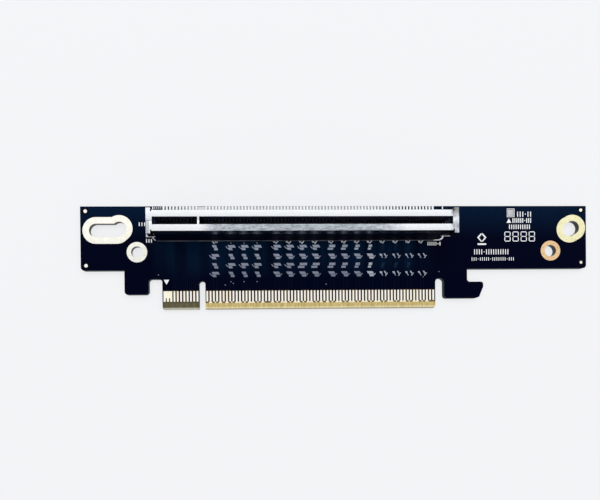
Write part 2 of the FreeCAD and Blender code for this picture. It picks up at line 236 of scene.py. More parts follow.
def mask_color(tree, x, y):
    """Mask over bare laminate is nearly black; over the copper planes it turns teal, and a painted sheen
    turns it teal towards the top edge.
    """
    lanes = within(tree, x, place_x(0.0), place_x(LANES_LAST_PLACE), LANES_SIDE_FADE)
    upper = above(tree, y, depth_y(LANES_LOWER_DEPTH), LANES_LOWER_FADE)
    lanes = calc(tree, "MULTIPLY", lanes, upper)
    streaks = noise(tree, (260.0, 14.0, 14.0), 2.0)
    lanes = calc(tree, "MULTIPLY", lanes, mapped(tree, streaks, 0.38, 0.6, 0.4, 1.5))
    low, high = TOP_SHEEN_DEPTHS
    # Painted sheen: the mask turns teal towards the top edge, where it mirrors the lamp.
    top_edge = mapped(tree, y, depth_y(low), depth_y(high), 0.0, 0.62)
    planes_and_sheen = calc(tree, "MAXIMUM", lanes, top_edge)
    fleck = noise(tree, even(1500.0), 2.0)
    planes_and_sheen = calc(tree, "MULTIPLY", planes_and_sheen, mapped(tree, fleck, 0.3, 0.7, 0.75, 1.15))
    return blend(tree, planes_and_sheen, MASK_DEEP, MASK_TEAL)


def tail_strip_color(tree, x):
    """Laminate between the tails, pale: palest in the key's gap and dark at both ends."""
    along = mapped(tree, x, place_x(0.0), place_x(LAST_PLACE))
    light = (0.53, 0.55, 0.57)
    dark = (0.012, 0.034, 0.038)
    middle = (0.24, 0.27, 0.29)
    stops = [(0.0, dark), (0.06, middle), (0.1, light), (0.74, light), (0.82, middle), (0.88, dark)]
    strip = ramp(tree, along, stops + [(1.0, dark)])
    key_gap = within(tree, x, place_x(KEY_GAP[0]), place_x(KEY_GAP[1]), 2 * SHARP)
    return blend(tree, calc(tree, "MULTIPLY", key_gap, 0.75), strip, (0.93, 0.94, 0.95))


def tongue_color(tree, x, y):
    """Bare laminate of the tongue: dark between the fingers, golden or olive below them."""
    grain = noise(tree, (2600.0, 420.0, 420.0))
    right_tab = ramp(tree, grain, [(0.3, (0.44, 0.32, 0.10)), (0.7, (0.74, 0.59, 0.27))])
    right_edge = ramp(tree, grain, [(0.3, (0.62, 0.52, 0.27)), (0.7, (0.88, 0.78, 0.48))])
    left_tab = ramp(tree, grain, [(0.25, (0.075, 0.068, 0.032)), (0.75, (0.16, 0.145, 0.085))])
    left_edge = ramp(tree, grain, [(0.25, (0.42, 0.40, 0.30)), (0.75, (0.60, 0.58, 0.48))])
    in_right = above(tree, x, place_x(KEY_MIDDLE), 4 * SHARP)
    left_bare = blend(tree, above(tree, y, depth_y(LEFT_BEVEL_DEPTH), 5 * SHARP), left_edge, left_tab)
    right_bare = blend(tree, above(tree, y, depth_y(RIGHT_BEVEL_DEPTH), 5 * SHARP), right_edge, right_tab)
    right_lip = above(tree, y, depth_y(RIGHT_LIP_DEPTH), 4 * SHARP)
    right_bare = blend(tree, right_lip, (0.36, 0.31, 0.19), right_bare)
    bare = blend(tree, in_right, left_bare, right_bare)
    round_stubs = above(tree, y, finger_low.y - STUB_ZONE_END, 2 * SHARP)
    stub_zone = blend(tree, in_right, (0.10, 0.085, 0.048), (0.17, 0.115, 0.045))
    bare = blend(tree, round_stubs, bare, stub_zone)
    number = calc(tree, "DIVIDE", calc(tree, "SUBTRACT", x, contact_1_x), PITCH)
    tint = step_noise(tree, calc(tree, "FLOOR", number))
    between_fingers = ramp(tree, tint, [(0.3, (0.006, 0.004, 0.002)), (0.9, (0.085, 0.042, 0.010))])
    between = above(tree, y, finger_low.y - FINGER_ZONE_END, 3.2 * SHARP)
    return blend(tree, between, bare, between_fingers)


def board_material():
    """Solder mask on the faces, brown laminate round the fingers, glass-epoxy on the cut edges."""
    material, tree, shader = new_material("solder_mask_and_laminate", MASK_DEEP, 0.3, 0.0, 0.012)
    x, y, _ = split_coords(tree, "Object")
    _, _, facing = split_coords(tree, "Normal")
    color = mask_color(tree, x, y)
    in_strip = above(tree, y, depth_y(TAIL_STRIP_DEPTH), 2 * SHARP)
    in_row = within(tree, x, place_x(-ROW_MARGIN), place_x(LAST_PLACE + ROW_MARGIN), 6 * SHARP)
    in_front = above(tree, facing, 0.3, 0.1)
    in_strip = calc(tree, "MULTIPLY", calc(tree, "MULTIPLY", in_strip, in_row), in_front)
    strip = tail_strip_color(tree, x)
    # Painted shade: a thin dark line along the card's top edge, above the tails.
    strip_edge_shade = above(tree, y, depth_y(STRIP_EDGE_SHADE_DEPTH), SHARP)
    strip = blend(tree, strip_edge_shade, strip, (0.10, 0.11, 0.13))
    color = blend(tree, in_strip, color, strip)
    on_back = mapped(tree, facing, -0.5, -0.3, 1.0, 0.0)
    for name, radius in BACK_RINGS:
        spot = calc(tree, "MULTIPLY", ring_spot(tree, x, y, name, radius), on_back)
        color = blend(tree, spot, color, (0.72, 0.62, 0.38))
    on_tongue = within(tree, x, place_x(-TONGUE_MARGIN), place_x(LAST_PLACE + TONGUE_MARGIN), SHARP)
    mask_end = finger_high.y + MASK_END
    below_mask = mapped(tree, y, mask_end, mask_end + 0.04 * MM, 1.0, 0.0)
    on_tongue = calc(tree, "MULTIPLY", on_tongue, below_mask)
    color = blend(tree, on_tongue, color, tongue_color(tree, x, y))
    layers = noise(tree, (60.0, 60.0, 5200.0), 2.0)
    edge_color = ramp(tree, layers, [(0.3, (0.022, 0.032, 0.03)), (0.7, (0.075, 0.092, 0.084))])
    is_face = above(tree, calc(tree, "ABSOLUTE", facing), 0.5, 0.2)
    tree.links.new(blend(tree, is_face, edge_color, color), shader.inputs["Base Color"])
    add_bump(tree, shader, noise(tree, even(1400.0), 2.0), 0.004 * MM, 0.35)
    return material


finish_node("pcb", board_material())

# ---- Copper tracks under the mask ----------------------------------------------------------------
# Sixteen differential pairs run from the slot's row to the fingers, etched in 0.035 mm copper and
# coated with mask. Each pair jogs sideways in four rows to even its length; the jogs are raised a
# little, and their short grey strokes are painted highlights, palest near the slot.
front_z = board_high.z
PAIR_PLACES = [15, 20, 24, 28, 34, 38, 42, 46, 51, 55, 59, 63, 67, 71, 75, 79]
LANE_OFFSET = 0.35
JOG_ROW_DEPTHS = [12.75, 15.5, 18.3, 20.95]
FAN_ROW_DEPTH = 11.05
FIRST_SWEPT_LANE = 4
FIRST_SLIM_LANE = 8
FIRST_SPLIT_LANE = 12
JOG_RISE = 0.012 * MM
TRACK_RISE = 0.006 * MM
TRACK_WIDTH = 0.14
PAIR_RUN_DEPTHS = (22.0, 25.5)
SIDE_TRACK_COUNT = 14
SIDE_TRACK_FIRST = 2.6
SIDE_TRACK_STEP = 0.62
SIDE_TRACK_DEPTHS = (11.3, 25.3)
KEY_TRACK_MARGIN = 1.3
KEY_TRACK_END = 22.3
LAST_LANES_PLACE = 61.5


def mottled(name, scales, dark, pale, roughness, metallic=0.0, specular=0.5,
            stops=(0.3, 0.7), detail=2.0, relief=0.0, strength=0.5):
    """Material whose colour wanders between a dark and a pale tone, with a relief in millimetres."""
    material, tree, shader = new_material(name, pale, roughness, metallic, specular)
    patch = noise(tree, scales, detail)
    color = ramp(tree, patch, [(stops[0], dark), (stops[1], pale)])
    tree.links.new(color, shader.inputs["Base Color"])
    if relief:
        add_bump(tree, shader, patch, relief * MM, strength)
    return material


def prism_mesh(name, outlines, low, high):
    """Mesh of flat pieces, each a simple outline of (x, y), raised from low to high."""
    points = []
    faces = []
    for outline in outlines:
        start = len(points)
        count = len(outline)
        points += [(x, y, low) for x, y in outline]
        points += [(x, y, high) for x, y in outline]
        faces.append([start + count + i for i in range(count)])
        faces.append([start + count - 1 - i for i in range(count)])
        for i in range(count):
            after = (i + 1) % count
            faces.append([start + i, start + after, start + count + after, start + count + i])
    mesh = bpy.data.meshes.new(name)
    mesh.from_pydata(points, [], faces)
    mesh.update()
    return mesh


def add_piece(name, mesh, material):
    """Places a mesh as a piece of the card, riding on its only body."""
    piece = bpy.data.objects.new(name, mesh)
    bpy.context.scene.collection.objects.link(piece)
    mesh.materials.append(material)
    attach(piece, "root")
    return piece


def on_card(points):
    """Anticlockwise outline of a shape given by places along the card and depths."""
    outline = [(place_x(place), depth_y(depth)) for place, depth in points]
    area = 0.0
    for i, (x, y) in enumerate(outline):
        next_x, next_y = outline[(i + 1) % len(outline)]
        area += x * next_y - next_x * y
    return outline if area > 0 else outline[::-1]


def flat_piece(name, shapes, rise, material, base=None):
    """Thin flat shapes on the front face, as one piece."""
    low = front_z if base is None else base
    mesh = prism_mesh(name, [on_card(shape) for shape in shapes], low, low + rise)
    return add_piece(name, mesh, material)


def bar(left, right, top, bottom, left_lean=0.0, right_lean=0.0):
    """Bar between two places and depths; each end leans by its own amount over the bar's height."""
    return [(left, top), (right, top), (right + right_lean, bottom), (left + left_lean, bottom)]


def wide_jog(place, depth):
    """Wide jog: a broad upper bar, and a lower bar whose left end runs up in a tail."""
    upper = bar(place - 0.95, place + 1.1, depth - 0.88, depth - 0.08, 0.35, 0.45)
    lower = bar(place - 1.0, place + 0.35, depth + 0.02, depth + 0.68, 0.45, 0.22)
    tail = bar(place - 1.68, place - 1.42, depth - 0.5, depth + 0.25, 0.6, 0.68)
    return [upper, lower, tail]


def narrow_jog(place, depth):
    """Narrow jog that leans down to the right."""
    upper = bar(place - 0.82, place + 0.5, depth - 0.9, depth - 0.1, 0.42, 0.3)
    lower = bar(place - 0.2, place + 1.0, depth + 0.02, depth + 0.72, 0.18, 0.1)
    return [upper, lower]


def slim_jog(place, depth, width):
    """Jog of the right-hand lanes that leans down to the left and gets slimmer lane by lane."""
    upper = bar(place - width * 0.35, place + width * 0.65, depth - 0.9, depth - 0.12, -0.18, -0.12)
    lower = bar(place - width * 0.62, place + width * 0.3, depth + 0.05, depth + 0.68, -0.1, -0.12)
    return [upper, lower]


def swept_jog(place, depth):
    """Wide jog that leans down to the right and ends in a tail that runs up to the right."""
    upper = bar(place - 1.1, place + 0.7, depth - 0.88, depth - 0.1, 0.45, 0.5)
    lower = bar(place - 0.35, place + 1.0, depth + 0.02, depth + 0.68, 0.2, 0.1)
    tail = bar(place + 1.42, place + 1.72, depth - 0.25, depth + 0.35, -0.45, -0.5)
    return [upper, lower, tail]


def split_jog(place, depth, gap):
    """Jog of the last lanes: two separate strokes, the right one bent like a tick."""
    left = bar(place - 1.15, place - 0.35 - gap, depth - 0.78, depth - 0.2, 0.3, 0.18)
    left_tail = bar(place - 0.62, place - 0.38, depth - 0.2, depth + 0.5, 0.4, 0.38)
    right = bar(place + 0.22 + gap, place + 0.62 + gap, depth - 0.92, depth - 0.05, 0.5, 0.5)
    tick = bar(place + 1.2 + gap, place + 1.5 + gap, depth - 0.35, depth + 0.55, -0.62, -0.62)
    return [left, left_tail, right, tick]


def fan_strokes(lane, place):
    """Where a pair leaves the slot: slanted strokes, stronger lane by lane."""
    depth = FAN_ROW_DEPTH
    if lane == 0:
        first = bar(place - 0.85, place - 0.55, depth - 0.45, depth + 0.45, 0.72, 0.72)
        second = bar(place + 0.1, place + 0.3, depth - 0.35, depth + 0.15, 0.35, 0.35)
        return [first, second, bar(place + 0.65, place + 0.85, depth - 0.3, depth + 0.1, 0.2, 0.2)]
    if lane < FIRST_SWEPT_LANE:
        return [bar(place - 0.1, place + 0.05, depth + 0.1, depth + 0.3, 0.15, 0.15)]
    slant = min(0.28 + 0.03 * (lane - FIRST_SWEPT_LANE), 0.5)
    first = bar(place - 1.12, place - 0.88, depth - slant, depth + slant * 0.5, 0.35, 0.35)
    second = bar(place - 0.75, place - 0.5, depth - slant, depth + slant, 0.5, 0.5)
    stroke = bar(place + 0.38, place + 0.74, depth - 0.48, depth + 0.5, -0.72, -0.72)
    return [first, second, stroke]


def jog_row_strokes(lane, place, row, depth):
    """One lane's jog in one row; in the third row the slim jogs start two lanes earlier."""
    outer_row = row % 2 == 0
    early_slim = FIRST_SLIM_LANE - 2
    if lane == 0:
        return narrow_jog(place, depth) if outer_row else wide_jog(place, depth)
    if lane >= FIRST_SPLIT_LANE:
        return [] if outer_row else split_jog(place, depth, 0.07 * (lane - FIRST_SPLIT_LANE))
    if not outer_row:
        return narrow_jog(place, depth) if lane < FIRST_SWEPT_LANE else swept_jog(place, depth)
    if lane >= FIRST_SLIM_LANE:
        return slim_jog(place, depth, 1.85 - 0.27 * (lane - FIRST_SLIM_LANE))
    if lane >= early_slim and row == 2:
        return slim_jog(place, depth, 2.2 - 0.15 * (lane - early_slim))
    return wide_jog(place, depth)


def lane_strokes():
    """Every lane's jogs, row by row, and its strokes at the slot."""
    strokes = []
    for lane, pair in enumerate(PAIR_PLACES):
        place = pair + LANE_OFFSET
        strokes += fan_strokes(lane, place)
        for row, depth in enumerate(JOG_ROW_DEPTHS):
            strokes += jog_row_strokes(lane, place, row, depth)
    return strokes


def covered_jogs():
    """Jogs of the last lanes that lie deeper, under a full coat of mask, and hardly show."""
    jogs = []
    for lane in range(FIRST_SPLIT_LANE, FIRST_SPLIT_LANE + 3):
        for depth in JOG_ROW_DEPTHS[::2]:
            jogs += slim_jog(PAIR_PLACES[lane] + LANE_OFFSET, depth, 0.9)
    return jogs


def straight_tracks():
    """The pairs' straight runs down to the fingers, and the side tracks left of the first pair."""
    tracks = []
    for pair in PAIR_PLACES:
        for place in (pair, pair + 1.0):
            half = TRACK_WIDTH / 2
            tracks.append(bar(place - half, place + half, *PAIR_RUN_DEPTHS))
    for i in range(SIDE_TRACK_COUNT):
        place = SIDE_TRACK_FIRST + SIDE_TRACK_STEP * i
        top, end = SIDE_TRACK_DEPTHS
        if place > KEY_MIDDLE - KEY_TRACK_MARGIN:
            end = KEY_TRACK_END
        tracks.append(bar(place, place + TRACK_WIDTH, top, end))
    return tracks


def jog_glint_material():
    """Copper under a thin coat of mask, with painted highlights in lilac grey, palest near the slot and
    on the last lanes.
    """
    material, tree, shader = new_material("copper_jogs_painted_highlight", (0.3, 0.31, 0.38), 0.4)
    x, y, _ = split_coords(tree, "Object")
    # Painted highlight: the jogs are palest near the slot, fade row by row, and vary in patches.
    glint_rows = ramp(
        tree, mapped(tree, y, depth_y(22.0), depth_y(11.0)),
        [
            (0.09, (0.20, 0.22, 0.30)),
            (0.34, (0.26, 0.29, 0.38)),
            (0.59, (0.40, 0.43, 0.56)),
            (0.84, (0.56, 0.64, 0.80)),
            (0.92, (0.56, 0.64, 0.80)),
            (0.95, (1.0, 1.0, 1.0)),
        ],
    )
    patch = noise(tree, (900.0, 2600.0, 900.0), 2.0)
    painted_sheen_tone = ramp(tree, patch, [(0.3, (0.68, 0.68, 0.70)), (0.65, (1.0, 1.0, 1.0))])
    color = blend(tree, 1.0, glint_rows, painted_sheen_tone, "MULTIPLY")
    last_lanes_glint = above(tree, x, place_x(LAST_LANES_PLACE), 1.0 * MM)
    color = blend(tree, calc(tree, "MULTIPLY", last_lanes_glint, 0.3), color, (0.9, 0.93, 1.0))
    tree.links.new(color, shader.inputs["Base Color"])
    return material


track_dark = (0.0008, 0.003, 0.013)
track_pale = (0.0018, 0.0075, 0.026)
covered_dark = (0.005, 0.015, 0.04)
covered_pale = (0.014, 0.03, 0.07)
track_finish = mottled("tracks_under_mask", even(500.0), track_dark, track_pale, 0.35, specular=0.02)
covered_finish = mottled("covered_copper", even(700.0), covered_dark, covered_pale, 0.4, specular=0.02)
flat_piece("track_jogs", lane_strokes(), JOG_RISE, jog_glint_material())
flat_piece("straight_tracks", straight_tracks(), TRACK_RISE, track_finish)
flat_piece("covered_jogs", covered_jogs(), TRACK_RISE, covered_finish)

# ---- White ink -----------------------------------------------------------------------------------
# A layer of white epoxy ink is printed over the mask: the slot's outline, plain ticks and bars in
# place of any words, and four segmented figures that show every segment.
INK_RISE = 0.015 * MM
LINE = 0.17


def slot_outline_marks():
    """Outline of the slot's seat, with chamfered lower corners and short side lines."""
    return [
        bar(-3.45, -3.1, 0.1, 0.95),
        bar(85.95, 86.3, 0.1, 0.95),
        bar(-3.7, -2.5, 8.1, 8.3),
        bar(-3.42, -3.22, 8.7, 9.75),
        bar(-3.42, -3.2, 9.75, 10.4, 0.75, 0.75),
        bar(86.15, 88.45, 8.64, 9.0),
        bar(85.88, 86.32, 8.7, 9.9),
        bar(85.68, 86.32, 9.85, 10.45, -0.95, -0.7),
        bar(83.2, 85.2, 10.34, 10.64),
    ]


def tick_row(left, right, top, bottom, width, gap, dots=()):
    """Row of upright ticks; those numbered in dots are cut to a low dash."""
    ticks = []
    count = int((right - left + gap) / (width + gap))
    step = (right - left - width) / max(count - 1, 1)
    for i in range(count):
        start = left + i * step
        first = top if i not in dots else (top + bottom) / 2 - width / 2
        last = bottom if i not in dots else first + width
        ticks.append(bar(start, start + width, first, last))
    return ticks


def segmented_figure(left, top, width, height, line):
    """Figure with all seven segments shown, each a bar with cut corners."""
    gap = 0.16
    half = height / 2
    segments = []
    for level in (top, top + half - line / 2, top + height - line):
        middle = level + line / 2
        start = left + gap + line / 2
        end = left + width - gap - line / 2
        segments.append([
            (start - line / 2, middle),
            (start, level),
            (end, level),
            (end + line / 2, middle),
            (end, level + line),
            (start, level + line),
        ])
    for side in (left, left + width - line):
        for first, last in ((top + gap, top + half - gap), (top + half + gap, top + height - gap)):
            middle = side + line / 2
            segments.append([
                (middle, first),
                (side + line, first + line / 2),
                (side + line, last - line / 2),
                (middle, last),
                (side, last - line / 2),
                (side, first + line / 2),
            ])
    return segments


def hatched_square(left, right, top, bottom):
    """Square frame with upright hatching."""
    marks = [
        bar(left, right, top, top + LINE),
        bar(left, right, bottom - LINE, bottom),
        bar(left, left + LINE, top + LINE, bottom - LINE),
        bar(right - LINE, right, top + LINE, bottom - LINE),
    ]
    inner_left = left + 2.2 * LINE
    inner_right = right - 2.2 * LINE
    marks += tick_row(inner_left, inner_right, top + 2 * LINE, bottom - 2 * LINE, 0.2, 0.16)
    return marks


def open_diamond_on_bar(left, right, top, bottom):
    """Open diamond of four strokes standing on a solid bar."""
    middle = (left + right) / 2
    half = (right - left) / 2 - 0.3
    low = bottom - 1.0
    waist = top + (low - top) / 2
    stroke = 0.26
    slim = half - 0.1
    return [
        bar(left + 0.15, right - 0.15, bottom - 0.5, bottom),
        bar(middle - stroke, middle + stroke, top, waist, -half, -slim),
        bar(middle - stroke, middle + stroke, top, waist, slim, half),
        bar(middle - half - stroke, middle - half + stroke, waist, low, half, slim),
        bar(middle + half - stroke, middle + half + stroke, waist, low, -slim, -half),
    ]


def right_side_marks():
    """Ticks, bars and figures on the card's right side."""
    marks = hatched_square(106.45, 108.85, 0.8, 3.45)
    marks += tick_row(109.7, 114.1, 1.75, 3.35, 0.28, 0.42, (3,))
    marks.append([(106.3, 5.25), (107.05, 3.85), (107.8, 5.25)])
    marks += tick_row(108.2, 114.1, 3.8, 5.25, 0.3, 0.32, (6,))
    marks += tick_row(107.1, 113.7, 5.8, 7.2, 0.28, 0.36)
    for i in range(4):
        marks += segmented_figure(105.6 + 2.58 * i, 7.95, 1.95, 3.1, 0.24)
    marks += open_diamond_on_bar(96.95, 99.95, 8.45, 12.1)
    marks += tick_row(96.0, 106.8, 13.45, 15.05, 0.26, 0.46, (4,))
    marks += tick_row(95.2, 108.5, 15.95, 17.0, 0.2, 0.44, (3, 9, 17))
    marks += tick_row(81.3, 85.4, 11.1, 12.2, 0.32, 0.28, (5,))
    return marks


def left_side_marks():
    """Ticks beside and above the slot's left end, and the pointer at the first finger."""
    marks = tick_row(-7.55, -5.65, 4.9, 6.0, 0.28, 0.3)
    marks += tick_row(-5.4, -3.65, 9.95, 11.05, 0.28, 0.26)
    marks += tick_row(-2.75, -0.75, 0.22, 0.75, 0.2, 0.34)
    marks.append([(-0.2, 22.4), (0.65, 23.9), (1.45, 22.4)])
    return marks


# The slot's long outline lies in the housing's shadow at the foot of its wall, and its ink is painted
# dark grey as painted shade.
ink = mottled(
    "white_ink", even(2200.0), (0.74, 0.76, 0.80), (0.99, 1.0, 1.0), 0.6,
    specular=0.3, stops=(0.3, 0.55), detail=3.0, relief=0.003,
)
shaded_ink = mottled(
    "white_ink_painted_shade", (160.0, 900.0, 900.0), (0.010, 0.012, 0.022), (0.17, 0.175, 0.19), 0.6,
    specular=0.2, stops=(0.35, 0.65), detail=3.0,
)
flat_piece("slot_outline_ink", slot_outline_marks(), INK_RISE, ink)
long_line = [bar(-2.2, 83.2, 10.47, 10.68)]
flat_piece("slot_outline_long_line", long_line, INK_RISE, shaded_ink)
flat_piece("right_side_ink", right_side_marks(), INK_RISE, ink)
flat_piece("left_side_ink", left_side_marks(), INK_RISE, ink)

# ---- Aiming marks and vias -----------------------------------------------------------------------
# Four round copper marks, gold finished, that the placing machine aims by: each lies in a round
# opening in the mask. A few small vias join the faces near the pairs.
card_left_place = (board_low.x - contact_1_x) / MM
card_right_place = (board_high.x - contact_1_x) / MM
AIM_MARKS = [
    (card_left_place + 1.55, 1.45, 0.54),
    (card_left_place + 1.6, 18.0, 0.54),
    (card_right_place - 1.65, 1.3, 0.5),
    (card_right_place - 1.65, 17.65, 0.44),
]
AIM_CLEARING = 1.05
AIM_RISE = 0.03 * MM
CLEARING_RISE = 0.004 * MM
VIA_RADIUS = 0.17
VIA_RISE = 0.01 * MM
VIA_PLACES = [(18.55, 24.08), (49.6, 24.0), (-1.8, 20.9), (84.85, 20.3)]
VIA_PLACES += [(20.3, 23.1), (24.3, 23.1), (28.3, 23.1), (21.0, 23.6), (79.9, 21.9)]


def disc(place, depth, radius, count=24):
    """Round outline."""
    turns = [2 * math.pi * i / count for i in range(count)]
    return [(place + radius * math.cos(turn), depth + radius * math.sin(turn)) for turn in turns]


def band(place, depth, inner, outer, count=32):
    """Flat ring cut into short four-sided pieces."""
    pieces = []
    for i in range(count):
        turns = [2 * math.pi * (i + step) / count for step in (0, 1)]
        corners = [(inner, turns[0]), (outer, turns[0]), (outer, turns[1]), (inner, turns[1])]
        pieces.append([(place + r * math.cos(t), depth + r * math.sin(t)) for r, t in corners])
    return pieces


def pale_gold(name, tone):
    """Thin gold over nickel, a little cloudy."""
    darker = tuple(channel * 0.86 for channel in tone)
    return mottled(
        name, even(700.0), darker, tone, 0.36, 0.45,
        stops=(0.3, 0.65), detail=3.0, relief=0.004, strength=0.4,
    )


bare_dark = (0.0008, 0.0009, 0.0018)
bare_pale = (0.003, 0.003, 0.005)
bare_finish = mottled("bare_dark_laminate", even(1800.0), bare_dark, bare_pale, 0.7, specular=0.03)
aim_discs = [disc(place, depth, radius) for place, depth, radius in AIM_MARKS]
aim_gaps = []
for place, depth, radius in AIM_MARKS:
    aim_gaps += band(place, depth, radius, AIM_CLEARING)
aim_finish = pale_gold("pale_gold_aiming_marks", (0.93, 0.9, 0.82))
flat_piece("aiming_marks", aim_discs, AIM_RISE, aim_finish)
flat_piece("aiming_mark_openings", aim_gaps, CLEARING_RISE, bare_finish)
vias = [disc(place, depth, VIA_RADIUS, 12) for place, depth in VIA_PLACES]
via_finish = pale_gold("tented_vias", (0.2, 0.21, 0.25))
flat_piece("small_vias", vias, VIA_RISE, via_finish)

# ---- Card slot housing ---------------------------------------------------------------------------
# A black glass-filled moulding with a chamber for every contact. It stands on two pegs pressed
# into the board and is held by the soldered contacts.
MOUTH_DEPTHS = (9.4, 6.2)
MOUTH_END = 1.2
KEY_RIB_HALF = 1.3
MOUTH_SHEEN_HEIGHTS = (8.5 * MM, 11.5 * MM)
MOUTH_FLOOR_RISE = 0.5 * MM


def housing_material():
    """Black moulding, with a painted sheen that makes it bluer and paler deep in its two mouths."""
    material, tree, shader = new_material("black_moulding", (0.003, 0.003, 0.004), 0.45, 0.0, 0.02)
    x, y, z = split_coords(tree, "Object")
    fleck = noise(tree, even(2600.0), 3.0)
    color = ramp(tree, fleck, [(0.3, (0.0006, 0.0010, 0.0050)), (0.75, (0.0016, 0.0026, 0.0105))])
    soft = 0.3 * MM
    key_left = place_x(KEY_MIDDLE - KEY_RIB_HALF)
    key_right = place_x(KEY_MIDDLE + KEY_RIB_HALF)
    left_run = within(tree, x, place_x(-MOUTH_END), key_left, soft)
    right_run = within(tree, x, key_right, place_x(LAST_PLACE + MOUTH_END), soft)
    mouth_sheen = within(tree, y, depth_y(MOUTH_DEPTHS[0]), depth_y(MOUTH_DEPTHS[1]), soft)
    mouth_sheen = calc(tree, "MULTIPLY", mouth_sheen, calc(tree, "ADD", left_run, right_run))
    mouth_sheen = calc(tree, "MULTIPLY", mouth_sheen, mapped(tree, z, *MOUTH_SHEEN_HEIGHTS, 1.0, 0.05))
    over_pegs = above(tree, z, front_z + MOUTH_FLOOR_RISE, 0.2 * MM)
    mouth_sheen = calc(tree, "MULTIPLY", mouth_sheen, over_pegs)
    # Painted sheen: deep in the mouths the moulding is painted bluer and paler, fading upwards.
    inner = ramp(tree, fleck, [(0.3, (0.19, 0.24, 0.46)), (0.75, (0.34, 0.42, 0.72))])
    color = blend(tree, mouth_sheen, color, inner)
    tree.links.new(color, shader.inputs["Base Color"])
    add_bump(tree, shader, fleck, 0.006 * MM, 0.5)
    return material


finish_node("slot_housing", housing_material())

# ---- Steel shell ---------------------------------------------------------------------------------
# Bright rolled stainless sheet, 0.2 mm thick, blanked and folded over the housing. Rolling leaves
# fine lines along the slot. The near strip carries a painted reflection, the folded sides are darkened
# as painted shade, and the feet as painted shadow.
shell_low, shell_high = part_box("slot_shell")
SLOT_MIDDLE_DEPTH = 7.8
FOOT_REACH = 2.55 * MM
FOOT_HEIGHT = 1.0 * MM
LEFT_EAR = 0.9 * MM
RIGHT_EAR = 2.1 * MM
RIGHT_EAR_DARK_DEPTH = 7.0
RIGHT_EAR_DARK_FADE = 3.2 * MM
SHINY_FOOT_PLACE = -4.275
SHELL_ROUGHNESS = 0.11


